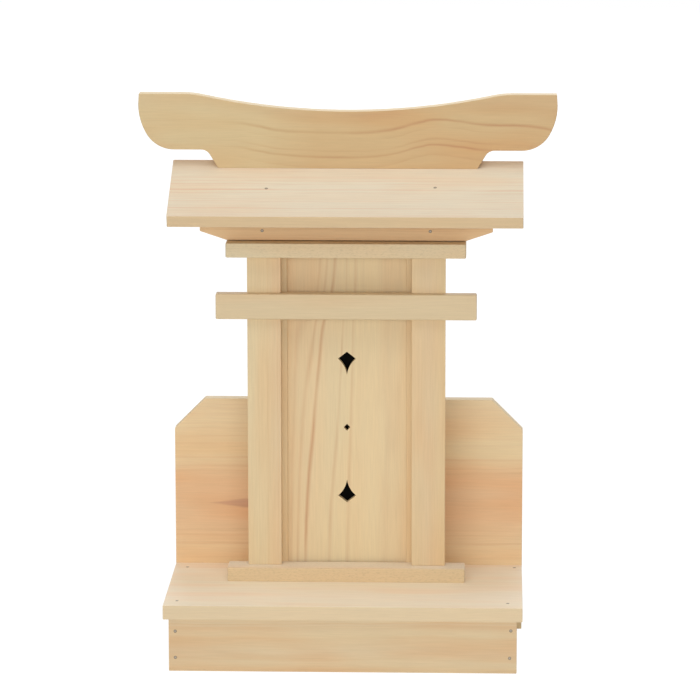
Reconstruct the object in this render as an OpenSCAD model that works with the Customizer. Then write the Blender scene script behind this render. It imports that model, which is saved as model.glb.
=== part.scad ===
// Small house shrine (kamidana) of planed cypress boards, nailed together.
// A flat base box carries a wide board standing at its rear. In front of that board
// stands a slim house: two side walls and a back under one sloping roof board, closed
// in front by a pierced panel. Laths are set before it: a sill, two pillars tied by a
// beam, and a lintel. A curved ridge board stands on the roof's rear edge.
// Millimetres, +Z up, front towards -Y, origin on the floor under the middle.

/* [Base] */
// Width across the base box, outside its side boards
base_w = 217; // [190:0.5:250]
// Height of the base box under its top board
base_h = 33.6; // [26:0.2:46]
// Thickness of the boards of the base box
base_board_t = 8.6; // [6:0.1:12]
// Thickness of the top board of the base
plate_t = 9; // [6:0.1:12]
// How far the top board stands out past each side of the box
plate_side_lip = 3.5; // [1:0.1:8]
// How far the top board stands out in front of the box
plate_front_lip = 2.5; // [1:0.1:8]

/* [Wide rear board] */
// Height of the wide rear board above the floor
rear_h = 151.4; // [110:0.2:190]
// Thickness of the wide rear board
rear_t = 8.8; // [6:0.1:12]
// Corner cut off at 45 degrees at each upper corner of the wide rear board
rear_corner = 19.7; // [8:0.1:30]

/* [House front] */
// Distance from the front edge of the base to the front edge of the sill
sill_setback = 63.6; // [40:0.2:100]
// Length of the sill from end to end
sill_len = 151; // [144:0.5:200]
// Thickness of the sill
sill_t = 8.7; // [6:0.1:12]
// Distance from the front edge of the sill to the front of the pillars
pillar_setback = 9.8; // [6:0.1:11]
// Height of each pillar between sill and lintel
pillar_h = 200.3; // [180:0.5:240]
// Width of each pillar
pillar_w = 21.2; // [18:0.1:24]
// Thickness of each pillar
pillar_t = 8.8; // [7:0.1:10]
// Clear width between the two pillars
bay_w = 82.8; // [76:0.2:88]
// Length of the lintel from end to end
lintel_len = 151; // [144:0.5:200]
// Thickness of the lintel
lintel_t = 9; // [6:0.1:12]

/* [Tie beam] */
// Length of the tie beam from end to end
beam_len = 164.6; // [150:0.2:200]
// Height of the tie beam
beam_h = 16.2; // [10:0.1:24]
// Thickness of the tie beam
beam_t = 8.7; // [6:0.1:12]
// Share of the beam's thickness that is let into the pillars
beam_lap = 0.5; // [0.3:0.05:0.6]
// Distance from the underside of the lintel to the top of the beam
beam_drop = 24.2; // [10:0.2:60]
// Play of the lap joint above and below the beam
lap_play = 0.1; // [0.05:0.05:0.3]

/* [Front panel] */
// Thickness of the front panel
panel_t = 5; // [3:0.1:6]
// Thickness of the stop strip between each pillar and the panel
stop_t = 2.4; // [1.5:0.1:3]
// Width of the stop strip that shows beside each pillar
stop_reveal = 3.5; // [1:0.1:6]
// Play on each side of the panel between the side walls
panel_play = 0.3; // [0.1:0.1:0.6]
// Height of the middle of the piercings above the sill
piercing_mid = 87.5; // [76:0.5:100]
// Half the distance from the tip of the upper piercing to the tip of the lower one
piercing_reach = 49; // [36:0.2:60]
// Height of a pierced head from its outer tip to where its slit begins
head_h = 13; // [8:0.2:18]
// Width of a pierced head across its shoulders
head_w = 11.4; // [6:0.2:16]
// Depth of the shoulders of a pierced head below its outer tip
shoulder_h = 4.5; // [2:0.1:7]
// Radius of the inward curve down each side of a pierced head
head_side_r = 16; // [10:0.5:40]
// Length of the slit that runs from a head towards the middle of the panel
slit_len = 5.6; // [2:0.1:10]
// Width of the slit where it leaves the head
slit_w = 0.7; // [0.4:0.05:1.2]
// Width of the small diamond in the middle
diamond_w = 4.2; // [2:0.1:8]
// Height of the small diamond in the middle
diamond_h = 4.5; // [2:0.1:8]

/* [House body] */
// Thickness of the side walls
side_t = 8.6; // [6:0.1:10]
// Distance between the middles of the two side walls
side_span = 105.4; // [104:0.2:110]
// Thickness of the board that closes the house at the back
house_back_t = 8.6; // [6:0.1:10]
// Clear depth of the talisman room between the panel and the back of the house
room_depth = 14; // [8:0.2:40]

/* [Roof] */
// Width of the roof board
roof_w = 222.4; // [200:0.5:250]
// Thickness of the roof board
roof_t = 8; // [6:0.1:10]
// Slope of the roof board in degrees
roof_pitch = 23.6; // [18:0.2:28]
// How far the eave's lower edge stands out in front of the lintel
eave_reach = 12.5; // [4:0.1:20]
// Height of the roof's underside above the lintel, over the front of the pillars
roof_clear = 22; // [18:0.2:34]
// Thickness of the board under the eave
eave_board_t = 8.7; // [6:0.1:10]
// Length of the lower edge of the board under the eave
eave_board_foot = 151; // [130:0.5:170]
// Length of the board under the eave across its two tips
eave_board_len = 184.4; // [172:0.4:194]
// Height of the slanting end of the board under the eave
eave_board_slant = 5.6; // [3:0.1:9]
// Gap between the lintel and the board under the eave
eave_board_gap = 0.6; // [0.3:0.1:0.9]

/* [Ridge board] */
// Thickness of the ridge board
ridge_t = 9.2; // [6:0.1:12]
// Length of the ridge board across its two wings
ridge_len = 265; // [230:0.5:290]
// Height of the ridge board's tips above the front edge of its foot
ridge_h = 47.4; // [43:0.2:58]
// Length of the foot that stands on the roof
foot_len = 164.2; // [140:0.5:180]
// Height of the underside of the wings above the foot's front edge
wing_rise = 11.8; // [8:0.1:16]
// Slant of the foot's ends, measured from upright in degrees
foot_slant = 31; // [10:1:40]
// Radius of the hollow between foot and wing
foot_hollow_r = 6.5; // [3:0.5:8]
// Radius of the large curve down each end of the board
end_r = 37.5; // [34:0.5:46]
// Angle that the large curve turns through, in degrees
end_turn = 30; // [20:1:40]
// Radius of the small curve under each end of the board
tip_r = 20; // [14:0.5:20]
// How far each top corner leans in from the widest point of the end
tip_lean = 0.4; // [0:0.1:2]
// Length of the level edge at each end of the top
top_flat = 35; // [20:0.5:50]
// Depth of the hollow curve along the top
top_sag = 10.9; // [4:0.1:14]
// Radius of the soft turn from each level edge into the hollow curve
top_turn_r = 60; // [20:5:100]

/* [Hidden] */

// Planes across the depth, from front to rear
house_depth = pillar_setback + pillar_t + stop_t + panel_t + room_depth + house_back_t;
plate_depth = sill_setback + house_depth;
depth = plate_depth + rear_t;
plate_front_y = -depth / 2;
rear_y = plate_front_y + plate_depth;
box_front_y = plate_front_y + plate_front_lip;
sill_front_y = plate_front_y + sill_setback;
pillar_front_y = sill_front_y + pillar_setback;
pillar_rear_y = pillar_front_y + pillar_t;
panel_front_y = pillar_rear_y + stop_t;
back_front_y = rear_y - house_back_t;
eave_board_rear_y = pillar_front_y + eave_board_t;

// Levels from the floor up
plate_top = base_h + plate_t;
sill_top = plate_top + sill_t;
lintel_bottom = sill_top + pillar_h;
lintel_top = lintel_bottom + lintel_t;
beam_top = lintel_bottom - beam_drop;
beam_bottom = beam_top - beam_h;

// Widths
plate_w = base_w + 2 * plate_side_lip;
pillar_x = (bay_w + pillar_w) / 2;
side_x = side_span / 2;
side_inner_x = side_x - side_t / 2;
house_w = side_span + side_t;
panel_w = 2 * (side_inner_x - panel_play);
stop_inner_x = bay_w / 2 - stop_reveal;
beam_front_y = pillar_front_y - beam_t * (1 - beam_lap);
eave_y = sill_front_y - eave_reach;
roof_rear_z = roof_under_z(rear_y);
ridge_rear_y = rear_y - roof_t * sin(roof_pitch);
ridge_front_y = ridge_rear_y - ridge_t;
foot_z = roof_top_z(ridge_front_y);

light_wood = [0.89, 0.78, 0.61];
warm_wood = [0.84, 0.71, 0.53];

// Height of the underside and of the top of the roof board at a depth y
function roof_under_z(y) = lintel_top + roof_clear + (y - pillar_front_y) * tan(roof_pitch);
function roof_top_z(y) = roof_under_z(y) + roof_t / cos(roof_pitch);

// The point at distance r from c in the direction of angle a
function around(c, r, a) = c + r * [cos(a), sin(a)];

// Slice of a disc with radius r about c, between the angles a and b
module slice(c, r, a, b) {
    intersection() {
        translate(c) circle(r, $fn = 180);
        polygon([c, around(c, 2 * r, a), around(c, 2 * r, (a + b) / 2), around(c, 2 * r, b)]);
    }
}

// A flat shape and its mirror image on the other side of the middle
module both_sides() {
    children();
    mirror([1, 0]) children();
}

// A board from one corner to the opposite one
module board(low, high) {
    translate(low) cube(high - low);
}

// A flat shape in x and z, standing upright from depth y0 to depth y1
module upright(y0, y1) {
    translate([0, y1, 0]) rotate([90, 0, 0]) linear_extrude(y1 - y0) children();
}

// Everything under the roof board between two depths, to cut a top to the slope
module under_roof(w) {
    rotate([90, 0, 90]) translate([0, 0, -w / 2]) linear_extrude(w)
        polygon([
            [plate_front_y, 0], [rear_y, 0],
            [rear_y, roof_under_z(rear_y)], [plate_front_y, roof_under_z(plate_front_y)]
        ]);
}

module base_front_board() {
    color(warm_wood)
        board([-base_w / 2, box_front_y, 0], [base_w / 2, box_front_y + base_board_t, base_h]);
}

// Side board of the base box on the side s, -1 left and 1 right
module base_side_board(s) {
    x = s * (base_w - base_board_t) / 2;
    color(warm_wood)
        board([x - base_board_t / 2, box_front_y + base_board_t, 0], [x + base_board_t / 2, rear_y, base_h]);
}

module base_left_board() {
    base_side_board(-1);
}

module base_right_board() {
    base_side_board(1);
}

module base_top_board() {
    color(light_wood)
        board([-plate_w / 2, plate_front_y, base_h], [plate_w / 2, rear_y, plate_top]);
}

module wide_rear_board() {
    x = plate_w / 2;
    color(warm_wood)
        upright(rear_y, rear_y + rear_t)
            polygon([
                [-x, 0], [x, 0], [x, rear_h - rear_corner], [x - rear_corner, rear_h],
                [-x + rear_corner, rear_h], [-x, rear_h - rear_corner]
            ]);
}

// Lath laid flat under the pillars, against the front edges of the side walls
module sill_plate() {
    color(light_wood)
        board([-sill_len / 2, sill_front_y, plate_top], [sill_len / 2, pillar_rear_y, sill_top]);
}

// Pillar on the side s, with the notch that takes the tie beam
module pillar(s) {
    color(light_wood)
        difference() {
            board(
                [s * pillar_x - pillar_w / 2, pillar_front_y, sill_top],
                [s * pillar_x + pillar_w / 2, pillar_rear_y, lintel_bottom]
            );
            board(
                [s * pillar_x - pillar_w, beam_front_y, beam_bottom - lap_play],
                [s * pillar_x + pillar_w, beam_front_y + beam_t, beam_top + lap_play]
            );
        }
}

module left_pillar() {
    pillar(-1);
}

module right_pillar() {
    pillar(1);
}

module tie_beam() {
    color(light_wood)
        board([-beam_len / 2, beam_front_y, beam_bottom], [beam_len / 2, beam_front_y + beam_t, beam_top]);
}

// Thin strip behind the pillar on the side s, which the panel rests against
module stop_strip(s) {
    low = s < 0 ? -side_inner_x : stop_inner_x;
    high = s < 0 ? -stop_inner_x : side_inner_x;
    color(warm_wood)
        board([low, pillar_rear_y, plate_top], [high, panel_front_y, lintel_top]);
}

module left_stop_strip() {
    stop_strip(-1);
}

module right_stop_strip() {
    stop_strip(1);
}

// Pierced head with its slit, pointing up from the middle of the panel
module pierced_head() {
    shoulder = [head_w / 2, piercing_reach - shoulder_h];
    neck = [slit_w / 2, piercing_reach - head_h];
    chord = shoulder - neck;
    outward = [chord.y, -chord.x] / norm(chord);
    middle = (shoulder + neck) / 2;
    side_c = middle + outward * sqrt(head_side_r * head_side_r - chord * chord / 4);
    difference() {
        polygon([
            [0, piercing_reach], shoulder, neck, [0, neck.y - slit_len],
            [-neck.x, neck.y], [-shoulder.x, shoulder.y]
        ]);
        both_sides() translate(side_c) circle(head_side_r, $fn = 120);
    }
}

module diamond() {
    polygon([
        [diamond_w / 2, 0], [0, diamond_h / 2], [-diamond_w / 2, 0], [0, -diamond_h / 2]
    ]);
}

module front_panel() {
    color(warm_wood)
        upright(panel_front_y, panel_front_y + panel_t)
            difference() {
                translate([-panel_w / 2, plate_top]) square([panel_w, lintel_top - plate_top]);
                translate([0, sill_top + piercing_mid]) {
                    pierced_head();
                    mirror([0, 1]) pierced_head();
                    diamond();
                }
            }
}

// Side wall of the house on the side s, from the base up to the slope of the roof
module side_wall(s) {
    color(warm_wood)
        intersection() {
            board(
                [s * side_x - side_t / 2, pillar_rear_y, plate_top],
                [s * side_x + side_t / 2, back_front_y, roof_rear_z]
            );
            under_roof(house_w + 2);
        }
}

module left_side_wall() {
    side_wall(-1);
}

module right_side_wall() {
    side_wall(1);
}

module house_back_board() {
    color(warm_wood)
        intersection() {
            board([-house_w / 2, back_front_y, plate_top], [house_w / 2, rear_y, roof_rear_z]);
            under_roof(house_w + 2);
        }
}

// Lath laid flat over the pillars, like the sill
module lintel_plate() {
    color(light_wood)
        board([-lintel_len / 2, sill_front_y, lintel_bottom], [lintel_len / 2, pillar_rear_y, lintel_top]);
}

module eave_board() {
    foot = eave_board_foot / 2;
    tip = eave_board_len / 2;
    z = lintel_top + eave_board_gap;
    color(warm_wood)
        intersection() {
            upright(pillar_front_y, eave_board_rear_y)
                polygon([
                    [-foot, z], [foot, z], [tip, z + eave_board_slant], [tip, roof_rear_z],
                    [-tip, roof_rear_z], [-tip, z + eave_board_slant]
                ]);
            under_roof(eave_board_len + 2);
        }
}

module roof_board() {
    across = roof_t * [-sin(roof_pitch), cos(roof_pitch)];
    eave = [eave_y, roof_under_z(eave_y)];
    rear = [rear_y, roof_rear_z];
    color(light_wood)
        rotate([90, 0, 90]) translate([0, 0, -roof_w / 2]) linear_extrude(roof_w)
            polygon([eave, rear, rear + across, eave + across]);
}

// Outline of the ridge board, seen from the front
module ridge_face() {
    foot = foot_len / 2;
    corner = ridge_len / 2;
    under = foot_z + wing_rise;
    top = foot_z + ridge_h;
    armpit = [foot + wing_rise * tan(foot_slant), under];
    hollow_c = armpit + foot_hollow_r * [(1 - sin(foot_slant)) / cos(foot_slant), -1];
    end_c = [corner - end_r, under + tip_r + (end_r - tip_r) * sin(end_turn)];
    tip_c = around(end_c, end_r - tip_r, -end_turn);
    half = [
        [foot, foot_z], armpit, [tip_c.x, under], around(tip_c, tip_r, -end_turn),
        [corner, end_c.y], [corner - tip_lean, top]
    ];
    difference() {
        union() {
            polygon(concat(half, [for (i = [len(half) - 1 : -1 : 0]) [-half[i].x, half[i].y]]));
            both_sides() {
                slice(tip_c, tip_r, -90, -end_turn);
                slice(end_c, end_r, -end_turn, 0);
                difference() {
                    polygon([
                        armpit, around(hollow_c, foot_hollow_r, 180 - foot_slant), [hollow_c.x, under]
                    ]);
                    translate(hollow_c) circle(foot_hollow_r, $fn = 90);
                }
            }
        }
        top_hollow(corner - top_flat, top);
    }
}

// The hollow along the top, which meets the level edges in a soft turn at each side
module top_hollow(flat, top) {
    turn_c = [flat + top_turn_r * top_sag / flat, top - top_turn_r];
    reach = (turn_c.x * turn_c.x + top_sag * top_sag) / (2 * top_sag);
    sag_r = reach - top_turn_r;
    turn_a = asin(turn_c.x / reach);
    turn_end = around(turn_c, top_turn_r, 90 + turn_a);
    translate([0, top - top_sag + sag_r]) circle(sag_r, $fn = 720);
    both_sides() difference() {
        polygon([turn_end, [turn_c.x, top], [turn_c.x, top + top_sag], [turn_end.x, top + top_sag]]);
        translate(turn_c) circle(top_turn_r, $fn = 360);
    }
}

module ridge_board() {
    color(warm_wood)
        difference() {
            upright(ridge_front_y, ridge_rear_y) ridge_face();
            under_slope();
        }
}

// Everything under the top of the roof board, to cut the foot to the slope
module under_slope() {
    w = foot_len + 20;
    y0 = plate_front_y;
    y1 = rear_y + rear_t;
    rotate([90, 0, 90]) translate([0, 0, -w / 2]) linear_extrude(w)
        polygon([[y0, 0], [y1, 0], [y1, roof_top_z(y1)], [y0, roof_top_z(y0)]]);
}

base_front_board();
base_left_board();
base_right_board();
base_top_board();
wide_rear_board();
sill_plate();
left_pillar();
right_pillar();
tie_beam();
left_stop_strip();
right_stop_strip();
front_panel();
left_side_wall();
right_side_wall();
house_back_board();
lintel_plate();
eave_board();
roof_board();
ridge_board();
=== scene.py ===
import math

import bmesh
import bpy
from mathutils import Matrix, Vector


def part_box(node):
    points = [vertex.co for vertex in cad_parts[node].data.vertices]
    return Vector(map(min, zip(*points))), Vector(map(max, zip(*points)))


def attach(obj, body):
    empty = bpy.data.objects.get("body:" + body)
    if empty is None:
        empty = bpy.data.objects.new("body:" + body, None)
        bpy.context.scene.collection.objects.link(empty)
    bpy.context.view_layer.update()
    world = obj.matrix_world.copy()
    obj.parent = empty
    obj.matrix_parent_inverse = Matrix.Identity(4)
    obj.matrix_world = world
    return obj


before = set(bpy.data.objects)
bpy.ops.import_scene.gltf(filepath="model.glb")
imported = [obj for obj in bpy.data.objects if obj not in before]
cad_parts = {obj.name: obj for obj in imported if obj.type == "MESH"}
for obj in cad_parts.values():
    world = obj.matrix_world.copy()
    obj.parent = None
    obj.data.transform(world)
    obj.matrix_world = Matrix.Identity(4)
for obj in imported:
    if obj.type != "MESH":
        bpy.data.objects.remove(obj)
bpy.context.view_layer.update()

# ---------------------------------------------------------------------------
# Base box
# Four planed cypress boards, butted and nailed: a front board over the ends
# of two side boards, and a wide top board laid on them with a small lip.
# ---------------------------------------------------------------------------


def add_node(tree, kind, links, **settings):
    """Adds one node to the tree, with its settings, and links or fills its inputs."""
    node = tree.nodes.new(kind)
    for key, value in settings.items():
        setattr(node, key, value)
    for socket, value in links.items():
        if isinstance(value, bpy.types.NodeSocket):
            tree.links.new(value, node.inputs[socket])
        else:
            node.inputs[socket].default_value = value
    return node


def linear(hex_colour):
    """An sRGB hex colour as linear red, green, blue and full alpha."""
    channels = [int(hex_colour[i:i + 2], 16) / 255 for i in (1, 3, 5)]
    turned = [c / 12.92 if c <= 0.04045 else ((c + 0.055) / 1.055) ** 2.4 for c in channels]
    return (*turned, 1)


def set_stops(ramp, stops):
    """Puts the stops, pairs of position and linear colour, on a colour ramp."""
    ramp.elements[0].position = stops[0][0]
    ramp.elements[0].color = stops[0][1]
    ramp.elements[1].position = stops[-1][0]
    ramp.elements[1].color = stops[-1][1]
    for position, colour in stops[1:-1]:
        ramp.elements.new(position).color = colour


def planed_hinoki(node_name, along, across, pith, ring, body, late, figure=0.5, warp=1.5,
                  bow=(), bow_reach=(), lines=(), clear=None, wedge=None, drift=(),
                  edge=None, blush=0.35, fibre=0.05, fleck=0.0, pitch=0.0, seed=0):
    """Planed, unfinished hinoki (Japanese cypress) for one board, cut from its own log.

    along and across name the board's grain direction and the direction over its face.
    pith is where the middle of the log lies from the middle of the board, in mm, over the
    face and through the thickness. ring is the width of a year's growth in mm. body gives
    the wood's colour at places over the face, late the colour of the late wood that ends
    each ring. bow and bow_reach bend the grain along the board. lines are strong rings,
    each with its place over the face, its width in mm and its strength. wedge is a tongue
    of darker heartwood: its tip, its length, its half width there and its colour. clear
    gives two places along the board between which its rings come up out of plain wood.
    drift tints the wood at places along the board, edge gives the faces along one axis a colour of
    their own, which is painted light and shade that makes top faces paler than upright ones, and
    blush is how far the wood goes pinkish in soft patches."""
    low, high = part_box(node_name)
    middle = (low + high) / 2
    size = (high - low) * 1000
    deep = ({"X", "Y", "Z"} - {along, across}).pop()
    half = {"X": size.x / 2, "Y": size.y / 2, "Z": size.z / 2}
    reach = half[across] * (1 / math.cos(pitch) if pitch else 1)

    material = bpy.data.materials.new("planed_hinoki_" + node_name)
    material.use_nodes = True
    tree = material.node_tree
    tree.nodes.clear()

    # Millimetres from the middle of the board, turned to its own slope
    source = add_node(tree, "ShaderNodeTexCoord", {})
    place = add_node(tree, "ShaderNodeMapping", {
        "Vector": source.outputs["Object"], "Location": middle,
        "Rotation": (pitch, 0, 0), "Scale": (0.001, 0.001, 0.001)}, vector_type="TEXTURE")
    axes = add_node(tree, "ShaderNodeSeparateXYZ", {"Vector": place.outputs["Vector"]})
    grain = add_node(tree, "ShaderNodeCombineXYZ", {
        "X": axes.outputs[along], "Y": axes.outputs[across], "Z": axes.outputs[deep]})
    apart = (seed * 173.0, seed * 57.0, seed * 91.0)

    # A slow wander of the grain, over tens of millimetres across and hundreds along
    slow = add_node(tree, "ShaderNodeMapping", {
        "Vector": grain.outputs["Vector"], "Location": apart, "Scale": (0.006, 0.022, 0.022)})
    wander = add_node(tree, "ShaderNodeTexNoise", {
        "Vector": slow.outputs["Vector"], "Scale": 1.0, "Detail": 2.0, "Roughness": 0.45})
    shift = add_node(tree, "ShaderNodeMapRange", {
        "Value": wander.outputs["Fac"], "From Min": 0.2, "From Max": 0.8,
        "To Min": -warp, "To Max": warp}, clamp=False)
    over = add_node(tree, "ShaderNodeMath", {
        0: axes.outputs[across], 1: shift.outputs["Result"]}, operation="ADD").outputs[0]
    # And a small unsteadiness, half a millimetre over a finger's width
    short_way = add_node(tree, "ShaderNodeMapping", {
        "Vector": grain.outputs["Vector"], "Location": apart, "Scale": (0.045, 0.06, 0.06)})
    tremble = add_node(tree, "ShaderNodeTexNoise", {
        "Vector": short_way.outputs["Vector"], "Scale": 1.0, "Detail": 2.0})
    over = add_node(tree, "ShaderNodeMath", {
        0: tremble.outputs["Fac"], 1: 0.45 * warp + 0.6, 2: over}, operation="MULTIPLY_ADD")
    over = add_node(tree, "ShaderNodeMath", {
        0: over.outputs[0], 1: 0.225 * warp + 0.3}, operation="SUBTRACT").outputs[0]

    if bow:
        # The bend of this board's grain, drawn as a curve of mm over mm along the board
        largest = max(abs(b) for _, b in bow)
        spot = add_node(tree, "ShaderNodeMapRange", {
            "Value": axes.outputs[along], "From Min": -half[along], "From Max": half[along]})
        curve = add_node(tree, "ShaderNodeFloatCurve", {"Value": spot.outputs["Result"]})
        points = curve.mapping.curves[0].points
        for i, (mm, b) in enumerate(bow):
            x = (mm + half[along]) / (2 * half[along])
            y = 0.5 + 0.5 * b / largest
            if i in (0, len(bow) - 1):
                points[-1 if i else 0].location = (x, y)
            else:
                points.new(x, y)
        curve.mapping.update()
        bend = add_node(tree, "ShaderNodeMapRange", {
            "Value": curve.outputs["Value"], "To Min": -largest, "To Max": largest})
        bend = bend.outputs["Result"]
        if bow_reach:
            share = add_node(tree, "ShaderNodeMapRange", {
                "Value": axes.outputs[across], "From Min": -reach, "From Max": reach})
            shares = add_node(tree, "ShaderNodeValToRGB", {"Fac": share.outputs["Result"]})
            set_stops(shares.color_ramp, [
                ((mm + reach) / (2 * reach), (s, s, s, 1)) for mm, s in bow_reach])
            bend = add_node(tree, "ShaderNodeMath", {
                0: bend, 1: shares.outputs["Color"]}, operation="MULTIPLY").outputs[0]
        over = add_node(tree, "ShaderNodeMath", {0: over, 1: bend}, operation="SUBTRACT").outputs[0]

    # Distance from the pith: arcs on the ends of the board, lines on its faces
    u = add_node(tree, "ShaderNodeMath", {0: over, 1: pith[0]}, operation="SUBTRACT")
    v = add_node(tree, "ShaderNodeMath", {
        0: axes.outputs[deep], 1: pith[1]}, operation="SUBTRACT")
    spoke = add_node(tree, "ShaderNodeCombineXYZ", {"X": u.outputs[0], "Y": v.outputs[0]})
    radius = add_node(tree, "ShaderNodeVectorMath", {
        0: spoke.outputs["Vector"]}, operation="LENGTH").outputs["Value"]

    # Rings of uneven width, each with its own strength and a sharp outer edge
    pace = add_node(tree, "ShaderNodeTexNoise", {
        "W": radius, "Scale": 0.31 / ring, "Detail": 2.0}, noise_dimensions="1D")
    uneven = add_node(tree, "ShaderNodeMath", {
        0: pace.outputs["Fac"], 1: 3.2}, operation="MULTIPLY")
    years = add_node(tree, "ShaderNodeMath", {
        0: radius, 1: 1 / ring, 2: uneven.outputs[0]}, operation="MULTIPLY_ADD")
    season = add_node(tree, "ShaderNodeMath", {0: years.outputs[0]}, operation="FRACT")
    late_wood = add_node(tree, "ShaderNodeValToRGB", {"Fac": season.outputs[0]})
    set_stops(late_wood.color_ramp, [
        (0.0, (0, 0, 0, 1)), (0.45, (0.05, 0.05, 0.05, 1)), (0.8, (0.4, 0.4, 0.4, 1)),
        (0.93, (1, 1, 1, 1)), (1.0, (0, 0, 0, 1))])
    year = add_node(tree, "ShaderNodeMath", {0: years.outputs[0]}, operation="FLOOR")
    own = add_node(tree, "ShaderNodeTexWhiteNoise", {"W": year.outputs[0]}, noise_dimensions="1D")
    strength = add_node(tree, "ShaderNodeMapRange", {
        "Value": own.outputs["Value"], "To Min": 0.25 * figure, "To Max": figure})
    rings = add_node(tree, "ShaderNodeMath", {
        0: late_wood.outputs["Color"], 1: strength.outputs["Result"]}, operation="MULTIPLY")
    mask = rings.outputs[0]

    if lines:
        # The strong rings, at the radius where each crosses the face that shows
        face = -half[deep] if deep == "Y" else half[deep]
        marks = []
        for mm, width, weight in lines:
            at = math.hypot(mm - pith[0], face - pith[1])
            marks.append((at, width, weight))
        marks.sort()
        first = marks[0][0] - 8
        last = marks[-1][0] + 8
        stops = [(0.0, (0, 0, 0, 1))]
        for at, width, weight in marks:
            for offset, value in ((-width, 0), (-0.15 * width, weight), (0.5 * width, 0)):
                stops.append(((at + offset - first) / (last - first), (value, value, value, 1)))
        stops.append((1.0, (0, 0, 0, 1)))
        way = add_node(tree, "ShaderNodeMapRange", {
            "Value": radius, "From Min": first, "From Max": last})
        drawn = add_node(tree, "ShaderNodeValToRGB", {"Fac": way.outputs["Result"]})
        set_stops(drawn.color_ramp, stops)
        mask = add_node(tree, "ShaderNodeMath", {
            0: mask, 1: drawn.outputs["Color"]}, operation="MAXIMUM").outputs[0]

    # Each ring comes and goes along the board, as the plane meets it at a changing depth
    long_way = add_node(tree, "ShaderNodeMapping", {
        "Vector": grain.outputs["Vector"], "Location": apart, "Scale": (0.018, 0.1, 0.1)})
    depth = add_node(tree, "ShaderNodeTexNoise", {
        "Vector": long_way.outputs["Vector"], "Scale": 1.0, "Detail": 1.0})
    shown = add_node(tree, "ShaderNodeMapRange", {
        "Value": depth.outputs["Fac"], "From Min": 0.38, "From Max": 0.6,
        "To Min": 0.4, "To Max": 1.0})
    mask = add_node(tree, "ShaderNodeMath", {
        0: mask, 1: shown.outputs["Result"]}, operation="MULTIPLY").outputs[0]
    if clear:
        grown = add_node(tree, "ShaderNodeMapRange", {
            "Value": axes.outputs[along], "From Min": clear[0], "From Max": clear[1],
            "To Min": 0.12, "To Max": 1.0}, interpolation_type="SMOOTHSTEP")
        mask = add_node(tree, "ShaderNodeMath", {
            0: mask, 1: grown.outputs["Result"]}, operation="MULTIPLY").outputs[0]

    # Fibres, 0.4 mm wide where real ones are finer than the picture shows, in long strokes
    thin = add_node(tree, "ShaderNodeMapping", {
        "Vector": grain.outputs["Vector"], "Location": apart, "Scale": (0.05, 1.3, 1.3)})
    strokes = add_node(tree, "ShaderNodeTexNoise", {
        "Vector": thin.outputs["Vector"], "Scale": 1.0, "Detail": 4.0, "Roughness": 0.6})
    patchy = add_node(tree, "ShaderNodeMapping", {
        "Vector": grain.outputs["Vector"], "Location": apart, "Scale": (0.012, 0.06, 0.06)})
    patches = add_node(tree, "ShaderNodeTexNoise", {
        "Vector": patchy.outputs["Vector"], "Scale": 1.0, "Detail": 1.0})

    # Body colour over the face, deeper late wood, then fibres and soft lighter patches
    spread = add_node(tree, "ShaderNodeMapRange", {
        "Value": over, "From Min": -reach, "From Max": reach})
    wood = add_node(tree, "ShaderNodeValToRGB", {"Fac": spread.outputs["Result"]})
    set_stops(wood.color_ramp, [((mm + reach) / (2 * reach), linear(c)) for mm, c in body])
    ringed = add_node(tree, "ShaderNodeMix", {
        0: mask, 6: wood.outputs["Color"], 7: linear(late)}, data_type="RGBA")
    if wedge:
        tip_along, tip_over, length, half_width, wedge_colour = wedge
        opened = add_node(tree, "ShaderNodeMapRange", {
            "Value": axes.outputs[along], "From Min": tip_along, "From Max": tip_along + length,
            "To Max": half_width})
        off = add_node(tree, "ShaderNodeMath", {
            0: axes.outputs[across], 1: tip_over}, operation="SUBTRACT")
        off = add_node(tree, "ShaderNodeMath", {0: off.outputs[0]}, operation="ABSOLUTE")
        inside = add_node(tree, "ShaderNodeMath", {
            0: opened.outputs["Result"], 1: off.outputs[0]}, operation="SUBTRACT")
        inside = add_node(tree, "ShaderNodeMapRange", {
            "Value": inside.outputs[0], "From Min": -0.4, "From Max": 1.2, "To Max": 0.8},
            interpolation_type="SMOOTHSTEP")
        ending = add_node(tree, "ShaderNodeMapRange", {
            "Value": axes.outputs[along], "From Min": tip_along + 1.2 * length,
            "From Max": tip_along + 2.4 * length, "To Min": 1.0, "To Max": 0.0})
        tongue = add_node(tree, "ShaderNodeMath", {
            0: inside.outputs["Result"], 1: ending.outputs["Result"]}, operation="MULTIPLY")
        ringed = add_node(tree, "ShaderNodeMix", {
            0: tongue.outputs[0], 6: ringed.outputs[2], 7: linear(wedge_colour)},
            data_type="RGBA")
    pinkish = add_node(tree, "ShaderNodeMapRange", {
        "Value": patches.outputs["Fac"], "From Min": 0.42, "From Max": 0.68, "To Max": blush})
    ringed = add_node(tree, "ShaderNodeMix", {
        0: pinkish.outputs["Result"], 6: ringed.outputs[2], 7: linear("#F7DFCC")},
        data_type="RGBA", blend_type="MULTIPLY")
    facing = add_node(tree, "ShaderNodeSeparateXYZ", {"Vector": source.outputs["Normal"]})
    if drift:
        run = add_node(tree, "ShaderNodeMapRange", {
            "Value": axes.outputs[along], "From Min": -half[along], "From Max": half[along]})
        tint = add_node(tree, "ShaderNodeValToRGB", {"Fac": run.outputs["Result"]})
        set_stops(tint.color_ramp, [
            ((mm + half[along]) / (2 * half[along]), linear(c)) for mm, c in drift])
        ringed = add_node(tree, "ShaderNodeMix", {
            0: 1.0, 6: ringed.outputs[2], 7: tint.outputs["Color"]},
            data_type="RGBA", blend_type="MULTIPLY")
    # Painted light and shade: the faces along the edge axis take the edge colour, so that top faces
    # come out paler than upright ones
    if edge:
        edge_axis, edge_painted_light_colour = edge
        to_edge = add_node(tree, "ShaderNodeMath", {
            0: facing.outputs[edge_axis]}, operation="ABSOLUTE")
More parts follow.
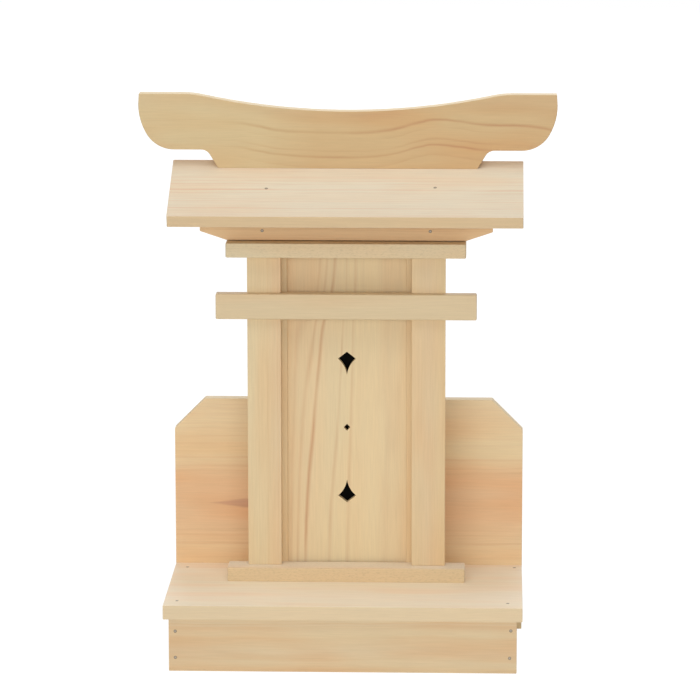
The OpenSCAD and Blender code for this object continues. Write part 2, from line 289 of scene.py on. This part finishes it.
        edge_painted_light_share = add_node(tree, "ShaderNodeMapRange", {
            "Value": to_edge.outputs[0], "From Min": 0.6, "From Max": 0.85, "To Max": 0.85},
            interpolation_type="SMOOTHSTEP")
        ringed = add_node(tree, "ShaderNodeMix", {
            0: edge_painted_light_share.outputs["Result"], 6: ringed.outputs[2], 7: linear(edge_painted_light_colour)},
            data_type="RGBA")
    light = add_node(tree, "ShaderNodeMapRange", {
        "Value": strokes.outputs["Fac"], "From Min": 0.25, "From Max": 0.75,
        "To Min": 1 - fibre, "To Max": 1 + fibre})
    patch = add_node(tree, "ShaderNodeMapRange", {
        "Value": patches.outputs["Fac"], "From Min": 0.3, "From Max": 0.7,
        "To Min": 0.975, "To Max": 1.025})
    level = add_node(tree, "ShaderNodeMath", {
        0: light.outputs["Result"], 1: patch.outputs["Result"]}, operation="MULTIPLY").outputs[0]
    if fleck:
        # Short dark flecks where the plane crosses the fibres, 2 mm long
        short = add_node(tree, "ShaderNodeMapping", {
            "Vector": grain.outputs["Vector"], "Location": apart, "Scale": (0.55, 1.9, 1.9)})
        dots = add_node(tree, "ShaderNodeTexNoise", {
            "Vector": short.outputs["Vector"], "Scale": 1.0, "Detail": 2.0})
        dark = add_node(tree, "ShaderNodeMapRange", {
            "Value": dots.outputs["Fac"], "From Min": 0.5, "From Max": 0.72,
            "To Min": 1.0, "To Max": 1 - fleck})
        level = add_node(tree, "ShaderNodeMath", {
            0: level, 1: dark.outputs["Result"]}, operation="MULTIPLY").outputs[0]
    # End grain soaks up the light and looks a little deeper
    to_end = add_node(tree, "ShaderNodeMath", {0: facing.outputs[along]}, operation="ABSOLUTE")
    ends = add_node(tree, "ShaderNodeMapRange", {
        "Value": to_end.outputs[0], "From Min": 0.5, "From Max": 0.9,
        "To Min": 1.0, "To Max": 0.88}, interpolation_type="SMOOTHSTEP")
    level = add_node(tree, "ShaderNodeMath", {
        0: level, 1: ends.outputs["Result"]}, operation="MULTIPLY").outputs[0]
    colour = add_node(tree, "ShaderNodeVectorMath", {
        0: ringed.outputs[2], "Scale": level}, operation="SCALE")

    # Planed wood is satin: late wood is harder and shines a touch more than early wood
    satin = add_node(tree, "ShaderNodeMapRange", {
        "Value": mask, "To Min": 0.58, "To Max": 0.5})
    grit = add_node(tree, "ShaderNodeMath", {
        0: strokes.outputs["Fac"], 1: 0.12, 2: satin.outputs["Result"]}, operation="MULTIPLY_ADD")
    relief = add_node(tree, "ShaderNodeMath", {
        0: mask, 1: 0.6, 2: strokes.outputs["Fac"]}, operation="MULTIPLY_ADD")
    bump = add_node(tree, "ShaderNodeBump", {
        "Height": relief.outputs[0], "Strength": 0.14, "Distance": 0.0001})
    finish = add_node(tree, "ShaderNodeBsdfPrincipled", {
        "Base Color": colour.outputs["Vector"], "Roughness": grit.outputs[0],
        "Normal": bump.outputs["Normal"], "IOR": 1.5})
    add_node(tree, "ShaderNodeOutputMaterial", {"Surface": finish.outputs["BSDF"]})
    return material


def dress_board(node_name, material, ease_mm=0.45):
    """Gives a CAD board its wood, and eases its sharp arrises as a last plane stroke does."""
    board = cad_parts[node_name]
    for slot in board.material_slots:
        slot.material = material
    weld = board.modifiers.new("weld", "WELD")
    weld.merge_threshold = 0.00001
    ease = board.modifiers.new("eased_arris", "BEVEL")
    ease.width = ease_mm / 1000
    ease.segments = 3
    ease.limit_method = "ANGLE"
    ease.angle_limit = math.radians(35)
    shade = board.modifiers.new("shading", "WEIGHTED_NORMAL")
    shade.keep_sharp = False
    shade.weight = 100


dress_board("base_front_board", planed_hinoki(
    "base_front_board", "X", "Z", pith=(-2, 34), ring=3.4,
    body=[(-16.8, "#D6BE96"), (-4, "#D7C39F"), (6, "#D8C199"), (16.8, "#D9C4A0")],
    late="#CE9C66", figure=0.35, warp=2.6,
    lines=[(-15.4, 1.0, 0.25), (-9.5, 1.1, 0.3), (-4.4, 1.8, 0.3), (4, 2.0, 0.32), (13.4, 1.6, 0.25)],
    blush=0.4, seed=1))
for side in ("left", "right"):
    dress_board(f"base_{side}_board", planed_hinoki(
        f"base_{side}_board", "Y", "Z", pith=(4, 40), ring=2.6,
        body=[(-16.8, "#D8B88C"), (16.8, "#DDBF95")], late="#CDA276", seed=2 + len(side)))
# Painted light and shade: the pale body is the top in light from above, and the edge colour is its
# front and back edges in less light
dress_board("base_top_board", planed_hinoki(
    "base_top_board", "X", "Y", pith=(60, -70), ring=3.2,
    body=[(-56, "#F3E5CB"), (-30, "#F4E4CB"), (10, "#F1E0C2"), (56, "#F4E3CA")],
    late="#E2C6A2", figure=0.4, warp=2.0, edge=("Y", "#D8C098"), seed=9))

# ---------------------------------------------------------------------------
# Wide rear board
# One wide cypress plank with its upper corners sawn off at 45 degrees, nailed
# to the rear of the base. It has a streak of reddish heartwood along its middle.
# ---------------------------------------------------------------------------

# Painted highlight: the edge colour makes the faces on its top paler, as light from above shows them
dress_board("wide_rear_board", planed_hinoki(
    "wide_rear_board", "X", "Z", pith=(8, 62), ring=2.7,
    body=[(-75, "#E4CD9F"), (-25, "#E4C79B"), (-4, "#E3BB8F"), (22, "#E2BB8F"),
          (40, "#E5CC9F"), (75, "#E6CFA6")],
    late="#D7AE83", figure=0.4, warp=1.6,
    lines=[(-20, 0.8, 0.5), (-14.5, 0.7, 0.45), (7.5, 0.8, 0.3), (28, 0.9, 0.5), (37, 0.8, 0.45)],
    wedge=(-91.3, 6.9, 24, 3.3, "#C99A7C"),
    edge=("Z", "#EAD8B4"), blush=0.5, seed=12))

# ---------------------------------------------------------------------------
# Sill and lintel
# Two like laths laid flat, one under and one over the pillars. Their front
# edges are sawn and lightly planed, so they look speckled.
# ---------------------------------------------------------------------------

# Painted light and shade: the pale body is the top in light from above, and the edge colour is its
# front and back edges in less light
dress_board("sill_plate", planed_hinoki(
    "sill_plate", "X", "Y", pith=(10, 30), ring=1.6,
    body=[(-9.3, "#E9D1A6"), (-6, "#EAD8BE"), (9.3, "#EADBC2")], late="#DAB88B", figure=0.2,
    fleck=0.13, edge=("Y", "#D5BA91"), seed=14), ease_mm=0.9)
dress_board("lintel_plate", planed_hinoki(
    "lintel_plate", "X", "Y", pith=(6, 34), ring=1.5,
    body=[(-9.3, "#DAC7A1"), (9.3, "#DEC7A0")], late="#CBB286", figure=0.25, fleck=0.12,
    seed=15), ease_mm=0.9)

# ---------------------------------------------------------------------------
# Pillars and tie beam
# Two square-edged cypress laths stand between sill and lintel. The beam is
# half let into them in a shallow lap and glued, and its ends stand free.
# ---------------------------------------------------------------------------

dress_board("left_pillar", planed_hinoki(
    "left_pillar", "Z", "X", pith=(38, 12), ring=2.4,
    body=[(-10.6, "#DDC89E"), (2, "#DCC59B"), (10.6, "#DBC19A")], late="#CDAA7E",
    figure=0.35, warp=0.8, seed=17))
dress_board("right_pillar", planed_hinoki(
    "right_pillar", "Z", "X", pith=(-46, 16), ring=2.2,
    body=[(-10.6, "#DDC398"), (0, "#DAC098"), (10.6, "#DBC194")], late="#CBA679",
    figure=0.35, warp=0.8, seed=18))
dress_board("tie_beam", planed_hinoki(
    "tie_beam", "X", "Z", pith=(40, 6), ring=1.5,
    body=[(-8.1, "#D6C099"), (8.1, "#D7C29C")], late="#C7AC84", figure=0.3, warp=0.5, seed=19),
    ease_mm=0.8)

# ---------------------------------------------------------------------------
# Front panel, stop strips and the dark room behind the piercings
# One thin plain-sawn board stands behind the pillars, held by a narrow strip
# along each side. Two kite-shaped heads and a diamond are cut through it.
# ---------------------------------------------------------------------------

dress_board("front_panel", planed_hinoki(
    "front_panel", "Z", "X", pith=(30, 160), ring=3.4,
    body=[(-48, "#DEC094"), (-30, "#E0C99F"), (0, "#E1CCA1"), (30, "#E3CDA2"), (48, "#E1C599")],
    late="#C08D64", figure=0.1, warp=0.6,
    bow=[(-109, -0.3), (-67, 0.9), (-41, 2.6), (-18, 4.7), (6, 6.6), (29, 8.8), (50, 11),
         (80, 18), (109, 20)],
    bow_reach=[(-48, 0.2), (-32, 0.4), (-22, 1.0), (-6, 1.0), (4, 0.3), (20, 0.0), (48, 0.0)],
    lines=[(-36.5, 0.7, 0.25), (-32.2, 0.6, 0.35), (-27.2, 0.7, 0.75), (-11.7, 0.6, 0.45),
           (-0.2, 0.5, 0.3), (22.5, 0.6, 0.15), (38, 0.8, 0.2)], blush=0.2, seed=21))
for side in ("left", "right"):
    dress_board(f"{side}_stop_strip", planed_hinoki(
        f"{side}_stop_strip", "Z", "X", pith=(20, 30), ring=1.8,
        body=[(-5, "#DFC69B"), (5, "#DFC69B")], late="#D1B087", seed=22 + len(side)), ease_mm=0.25)

# A black sheet on the back wall of the room: painted shade, so that the piercings look deep and dark
back_low, back_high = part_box("house_back_board")
wall_low, wall_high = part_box("left_side_wall")
panel_low, panel_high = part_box("front_panel")
shade_sheet_mesh = bpy.data.meshes.new("room_shade_lining")
shade_sheet_shape = bmesh.new()
across_cells = 12
up_cells = 26
shade_sheet_half = -wall_high.x - 0.0006
shade_sheet_foot = panel_low.z + 0.0008
shade_sheet_top = panel_high.z - 0.0008
sheets = []
for depth in (0.00008, 0.00030):
    grid = []
    for row in range(up_cells + 1):
        for column in range(across_cells + 1):
            share_x = column / across_cells * 2 - 1
            share_z = row / up_cells
            # It cockles by a fifth of a millimetre between its edges
            cockle = 0.0002 * math.sin(5.1 * share_x + 9.0 * share_z) * (1 - share_x ** 2)
            grid.append(shade_sheet_shape.verts.new((
                share_x * shade_sheet_half, back_low.y - depth - 0.0002 + cockle,
                shade_sheet_foot + share_z * (shade_sheet_top - shade_sheet_foot))))
    sheets.append(grid)
for row in range(up_cells):
    for column in range(across_cells):
        a = row * (across_cells + 1) + column
        b = a + across_cells + 1
        rear, front = sheets
        shade_sheet_shape.faces.new((rear[a], rear[b], rear[b + 1], rear[a + 1]))
        shade_sheet_shape.faces.new((front[a], front[a + 1], front[b + 1], front[b]))
for column in range(across_cells):
    top = up_cells * (across_cells + 1) + column
    shade_sheet_shape.faces.new((
        sheets[0][column], sheets[0][column + 1], sheets[1][column + 1], sheets[1][column]))
    shade_sheet_shape.faces.new((sheets[0][top + 1], sheets[0][top], sheets[1][top], sheets[1][top + 1]))
for row in range(up_cells):
    a = row * (across_cells + 1)
    b = a + across_cells + 1
    shade_sheet_shape.faces.new((sheets[0][b], sheets[0][a], sheets[1][a], sheets[1][b]))
    a += across_cells
    b += across_cells
    shade_sheet_shape.faces.new((sheets[0][a], sheets[0][b], sheets[1][b], sheets[1][a]))
bmesh.ops.recalc_face_normals(shade_sheet_shape, faces=shade_sheet_shape.faces)
shade_sheet_shape.to_mesh(shade_sheet_mesh)
shade_sheet_shape.free()

# Painted shade: near black, dull and slightly fibrous, so it gives the eye nothing to rest on
lining = bpy.data.materials.new("black_painted_shade_sheet")
lining.use_nodes = True
tree = lining.node_tree
tree.nodes.clear()
source = add_node(tree, "ShaderNodeTexCoord", {})
long_fibres = add_node(tree, "ShaderNodeMapping", {
    "Vector": source.outputs["Object"], "Scale": (900, 900, 160)})
pulp = add_node(tree, "ShaderNodeTexNoise", {
    "Vector": long_fibres.outputs["Vector"], "Scale": 1.0, "Detail": 3.0})
shade_black = add_node(tree, "ShaderNodeValToRGB", {"Fac": pulp.outputs["Fac"]})
set_stops(shade_black.color_ramp, [(0.3, linear("#0C0B0A")), (0.7, linear("#171513"))])
pulp_bump = add_node(tree, "ShaderNodeBump", {
    "Height": pulp.outputs["Fac"], "Strength": 0.3, "Distance": 0.0001})
matt = add_node(tree, "ShaderNodeBsdfPrincipled", {
    "Base Color": shade_black.outputs["Color"], "Roughness": 0.95, "Normal": pulp_bump.outputs["Normal"]})
add_node(tree, "ShaderNodeOutputMaterial", {"Surface": matt.outputs["BSDF"]})
shade_sheet_mesh.materials.append(lining)
paper = bpy.data.objects.new("room_shade_lining", shade_sheet_mesh)
bpy.context.scene.collection.objects.link(paper)
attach(paper, "root")

# ---------------------------------------------------------------------------
# Side walls and back of the house
# Plain upright boards that close the house at its sides and back and carry
# the roof. They are glued and nailed, and their tops are cut to the slope.
# ---------------------------------------------------------------------------

for number, side in enumerate(("left", "right")):
    dress_board(f"{side}_side_wall", planed_hinoki(
        f"{side}_side_wall", "Z", "Y", pith=(30, 20 - 40 * number), ring=2.3,
        body=[(-10.7, "#D9B98D"), (10.7, "#DABB90")], late="#CBA176", seed=30 + number))
dress_board("house_back_board", planed_hinoki(
    "house_back_board", "Z", "X", pith=(-12, -70), ring=2.8,
    body=[(-57, "#DCBC90"), (-10, "#DAB88B"), (57, "#DDC096")], late="#CB9F72", figure=0.45,
    warp=2.0, seed=36))

# ---------------------------------------------------------------------------
# Eave board
# A board with slanting ends, nailed to the front of the side walls under the
# eave. It is of redder, warmer cypress than the rest.
# ---------------------------------------------------------------------------

dress_board("eave_board", planed_hinoki(
    "eave_board", "X", "Z", pith=(16, 18), ring=1.7,
    body=[(-12.6, "#E1BE90"), (12.6, "#DFBC8E")], late="#C99367", figure=0.7, warp=1.2, seed=38))

# ---------------------------------------------------------------------------
# Roof board
# One quarter-sawn plank, very pale with fine straight pinkish lines, nailed
# down on the side walls and sloping forward over the lintel.
# ---------------------------------------------------------------------------

roof_slope = math.radians(23.6)
# Painted light and shade: the pale body is the top in light from above and the edge colour its front
# and rear ends in less light; the last, pinker body stop paints the warm light that the wood bounces
# into the shade on the rear strip under the ridge board and its wings
dress_board("roof_board", planed_hinoki(
    "roof_board", "X", "Y", pith=(150, 10), ring=2.7,
    body=[(-35, "#E0D3BB"), (0, "#E1D5BD"), (18, "#E0D4BC"), (35, "#EDD5B8")], late="#D8A986",
    figure=0.85, warp=1.0, pitch=roof_slope, edge=("Y", "#D7BA8E"), blush=0.35, seed=40))

# ---------------------------------------------------------------------------
# Ridge board
# A plain-sawn board standing on the rear edge of the roof, sawn to a hollow
# top and rounded wings and planed smooth. Its grain runs in slow waves.
# ---------------------------------------------------------------------------

# Painted highlight: the edge colour makes the top faces paler, as light from above shows them
dress_board("ridge_board", planed_hinoki(
    "ridge_board", "X", "Z", pith=(40, 60), ring=6.5,
    body=[(-24, "#D0B98D"), (0, "#D1BD91"), (24, "#CFB990")], late="#B17A4F", figure=0.22,
    warp=2.5,
    bow=[(-132, 8), (-77, 7.6), (-57, 4.4), (-38, 1.3), (0, 0), (22, 1.9), (31, 3.8), (47, 8.2),
         (57, 9.8), (69, 8.8), (88, 6.3), (107, 5.7), (132, 1.5)],
    lines=[(-18.1, 1.1, 0.5), (-1.7, 1.1, 0.6), (9, 4.5, 0.18), (-14, 1.0, 0.25)],
    clear=(-80, -38),
    drift=[(-132, "#FFFFFF"), (-55, "#FEFBF8"), (-20, "#FAEEE4"), (60, "#FAEEE4"),
           (132, "#FAEDE3")],
    edge=("Z", "#E6D2AC"), blush=0.55, seed=42))

# ---------------------------------------------------------------------------
# Nails
# Small steel wire brads, driven flush with a hammer and dulled by handling.
# They hold the roof, the eave board and the boards of the base.
# ---------------------------------------------------------------------------

nail_head_mm = 1.1
nail_steel = bpy.data.materials.new("dulled_steel_nail_head")
nail_steel.use_nodes = True
tree = nail_steel.node_tree
tree.nodes.clear()
source = add_node(tree, "ShaderNodeTexCoord", {})
from_middle = add_node(tree, "ShaderNodeVectorMath", {
    0: source.outputs["Object"]}, operation="LENGTH")
ring_way = add_node(tree, "ShaderNodeMapRange", {
    "Value": from_middle.outputs["Value"], "From Min": 0.0, "From Max": nail_head_mm / 1000})
spots = add_node(tree, "ShaderNodeTexNoise", {
    "Vector": source.outputs["Object"], "Scale": 2600.0, "Detail": 2.0})
# Grey in the middle where the hammer polished it, brown where the wood stained its rim
tarnish = add_node(tree, "ShaderNodeValToRGB", {"Fac": ring_way.outputs["Result"]})
set_stops(tarnish.color_ramp, [
    (0.0, linear("#B3AB9A")), (0.6, linear("#94897A")), (1.0, linear("#5F4E3C"))])
worn = add_node(tree, "ShaderNodeMapRange", {
    "Value": spots.outputs["Fac"], "To Min": 0.45, "To Max": 0.7})
steel = add_node(tree, "ShaderNodeBsdfPrincipled", {
    "Base Color": tarnish.outputs["Color"], "Metallic": 0.6, "Roughness": worn.outputs["Result"]})
add_node(tree, "ShaderNodeOutputMaterial", {"Surface": steel.outputs["BSDF"]})


def drive_nail(name, spot_mm, out):
    """A nail head at a place on a board, given in mm, facing the direction out."""
    mesh = bpy.data.meshes.new(name)
    shape = bmesh.new()
    around = 20
    # A low dome with a worn rim that goes down into the wood round it
    profile = [(0.35, 0.10), (0.7, 0.07), (0.9, 0.02), (1.0, -0.06), (1.0, -0.4)]
    crown = shape.verts.new((0, 0, 0.00011))
    last = None
    for share, height in profile:
        loop = [shape.verts.new((
            math.cos(math.tau * i / around) * share * nail_head_mm / 1000,
            math.sin(math.tau * i / around) * share * nail_head_mm / 1000,
            height / 1000)) for i in range(around)]
        for i in range(around):
            j = (i + 1) % around
            if last is None:
                shape.faces.new((crown, loop[i], loop[j]))
            else:
                shape.faces.new((last[i], loop[i], loop[j], last[j]))
        last = loop
    shape.faces.new(list(reversed(last)))
    for face in shape.faces:
        face.smooth = True
    shape.to_mesh(mesh)
    shape.free()
    mesh.materials.append(nail_steel)
    nail = bpy.data.objects.new(name, mesh)
    bpy.context.scene.collection.objects.link(nail)
    nail.matrix_world = (
        Matrix.Translation(Vector(spot_mm) / 1000)
        @ Vector((0, 0, 1)).rotation_difference(Vector(out)).to_matrix().to_4x4())
    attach(nail, "root")


base_low, base_high = [corner * 1000 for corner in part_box("base_top_board")]
front_low, front_high = [corner * 1000 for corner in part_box("base_front_board")]
rear_low, rear_high = [corner * 1000 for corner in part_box("wide_rear_board")]
eave_low, eave_high = [corner * 1000 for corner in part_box("eave_board")]
roof_low, roof_high = [corner * 1000 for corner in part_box("roof_board")]
for name, x, y in (("rear_left", -103.7, 39.9), ("front_left", -103.9, -48.0),
                   ("rear_right", 107.1, 44.5), ("front_right", 102.8, -48.2)):
    drive_nail(f"nail_base_top_{name}", (x, y, base_high.z), (0, 0, 1))
for name, x, z in (("upper_left", -104.4, 25.6), ("lower_left", -104.4, 8.7),
                   ("upper_right", 104.8, 27.5), ("lower_right", 104.1, 9.9)):
    drive_nail(f"nail_base_front_{name}", (x, front_low.y, z), (0, -1, 0))
for name, x, z in (("upper_left", 104.6, 26.1), ("lower_left", 103.9, 9.2),
                   ("upper_right", -104.2, 25.0), ("lower_right", -104.7, 8.4)):
    drive_nail(f"nail_rear_board_{name}", (x, rear_high.y, z), (0, 1, 0))
for name, x in (("left", -52.9), ("right", 52.9)):
    drive_nail(f"nail_eave_board_{name}", (x, eave_low.y, 267.2), (0, -1, 0))
for name, x, y in (("left", -50.4, 17.5), ("right", 55.7, 19.2)):
    # On the roof's top face, which rises from its front edge at the slope
    rear_edge_y = roof_high.y - 8.0 * math.sin(roof_slope)
    z = roof_high.z - (rear_edge_y - y) * math.tan(roof_slope)
    drive_nail(f"nail_roof_{name}", (x, y, z), (0, -math.sin(roof_slope), math.cos(roof_slope)))

# ---------------------------------------------------------------------------
# Floor
# A plain white studio floor that reaches past the picture on all sides. It
# bounces light up under the eave and keeps the shadow of the shrine.
# ---------------------------------------------------------------------------

floor_mesh = bpy.data.meshes.new("studio_floor")
floor_shape = bmesh.new()
floor_half = 9.0
for x, y in ((-1, -1), (1, -1), (1, 1), (-1, 1)):
    floor_shape.verts.new((x * floor_half, y * floor_half, 0))
floor_shape.faces.new(floor_shape.verts)
floor_shape.to_mesh(floor_mesh)
floor_shape.free()
floor = bpy.data.objects.new("studio_floor", floor_mesh)
bpy.context.scene.collection.objects.link(floor)
floor_paint = bpy.data.materials.new("white_studio_paper")
floor_paint.use_nodes = True
tree = floor_paint.node_tree
tree.nodes.clear()
ray = add_node(tree, "ShaderNodeLightPath", {})
seen = add_node(tree, "ShaderNodeMath", {
    0: ray.outputs["Is Camera Ray"], 1: ray.outputs["Is Glossy Ray"]}, operation="MAXIMUM")
seen = add_node(tree, "ShaderNodeMath", {
    0: seen.outputs[0], 1: ray.outputs["Is Transmission Ray"]}, operation="MAXIMUM")
paper = add_node(tree, "ShaderNodeBsdfDiffuse", {"Color": linear("#F2F2F2")})
glow = add_node(tree, "ShaderNodeEmission", {"Color": (1, 1, 1, 1), "Strength": 1.17})
kept_shadow = add_node(tree, "ShaderNodeMath", {0: seen.outputs[0], 1: 0.8}, operation="MULTIPLY")
floor_mix = add_node(tree, "ShaderNodeMixShader", {
    "Fac": kept_shadow.outputs[0], 1: paper.outputs[0], 2: glow.outputs[0]})
add_node(tree, "ShaderNodeOutputMaterial", {"Surface": floor_mix.outputs[0]})
floor_mesh.materials.append(floor_paint)

# ---------------------------------------------------------------------------
# Light
# Soft studio light: a dim white surround, a wide box lamp low in front that
# reaches under the eave, one overhead for the top faces and one behind.
# ---------------------------------------------------------------------------

world = bpy.data.worlds.new("white_surround")
bpy.context.scene.world = world
world.use_nodes = True
tree = world.node_tree
tree.nodes.clear()
ray = add_node(tree, "ShaderNodeLightPath", {})
seen = add_node(tree, "ShaderNodeMath", {
    0: ray.outputs["Is Camera Ray"], 1: ray.outputs["Is Glossy Ray"]}, operation="MAXIMUM")
seen = add_node(tree, "ShaderNodeMath", {
    0: seen.outputs[0], 1: ray.outputs["Is Transmission Ray"]}, operation="MAXIMUM")
surround = 0.30
strength = add_node(tree, "ShaderNodeMapRange", {
    "Value": seen.outputs[0], "To Min": surround, "To Max": 1.0})
sky = add_node(tree, "ShaderNodeBackground", {
    "Color": (1, 1, 1, 1), "Strength": strength.outputs["Result"]})
add_node(tree, "ShaderNodeOutputWorld", {"Surface": sky.outputs[0]})

for name, width, height, watts, spot in (
        ("front_box_lamp", 3.6, 1.2, 49, (-0.3, -3.4, 0.68)),
        ("overhead_box_lamp", 3.0, 2.4, 38, (-0.2, -0.6, 2.5)),
        ("rear_box_lamp", 2.8, 1.2, 30, (0.5, 3.4, 1.1))):
    box_lamp = bpy.data.lights.new(name, "AREA")
    box_lamp.shape = "RECTANGLE"
    box_lamp.size = width
    box_lamp.size_y = height
    box_lamp.energy = watts
    lamp = bpy.data.objects.new(name, box_lamp)
    bpy.context.scene.collection.objects.link(lamp)
    lamp.location = spot
    lamp.rotation_euler = (Vector((0, 0, 0.2)) - Vector(spot)).to_track_quat("-Z", "Y").to_euler()

# ---------------------------------------------------------------------------
# Camera
# A long lens from a little above and a little to the right, as the boards'
# edges in the photograph show.
# ---------------------------------------------------------------------------

lens = bpy.data.cameras.new("camera")
lens.sensor_width = 36
lens.lens = 216
camera = bpy.data.objects.new("camera", lens)
bpy.context.scene.collection.objects.link(camera)
look_down = math.radians(10.937)
look_left = math.radians(2.052)
tip_over = math.radians(-0.059)
camera.matrix_world = (
    Matrix.Translation((0.09564, -2.59088, 0.69459))
    @ Matrix.Rotation(look_left, 4, "Z")
    @ Matrix.Rotation(math.pi / 2 - look_down, 4, "X")
    @ Matrix.Rotation(tip_over, 4, "Z"))
bpy.context.scene.camera = camera
bpy.context.scene.view_settings.view_transform = "Standard"
